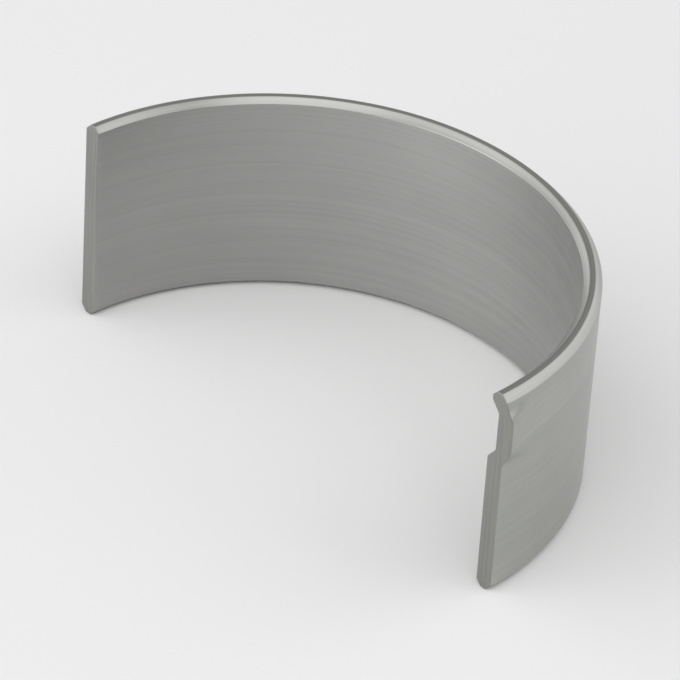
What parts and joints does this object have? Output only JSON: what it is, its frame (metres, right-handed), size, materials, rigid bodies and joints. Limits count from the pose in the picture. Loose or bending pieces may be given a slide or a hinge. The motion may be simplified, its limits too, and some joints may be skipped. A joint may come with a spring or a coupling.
{
  "type": "engine bearing shell",
  "caption": "Half-ring plain bearing shell with chamfered rims and a pressed locating tang, which lines one half of a connecting rod's big end round the crank journal.",
  "frame": {"origin": "on the bearing axis, half way along the shell's width", "axes": "+Z along the bearing axis towards the rim beside the tang, +X along the parting line towards the tang, +Y towards the crown of the back"},
  "size_m": [0.061, 0.03, 0.0224],
  "materials": {
    "satin_bearing_metal": "satin, finely bored running surface and cut rims"
  },
  "bodies": {
    "root": {"bearing_shell": "satin_bearing_metal"}
  },
  "joints": []
}
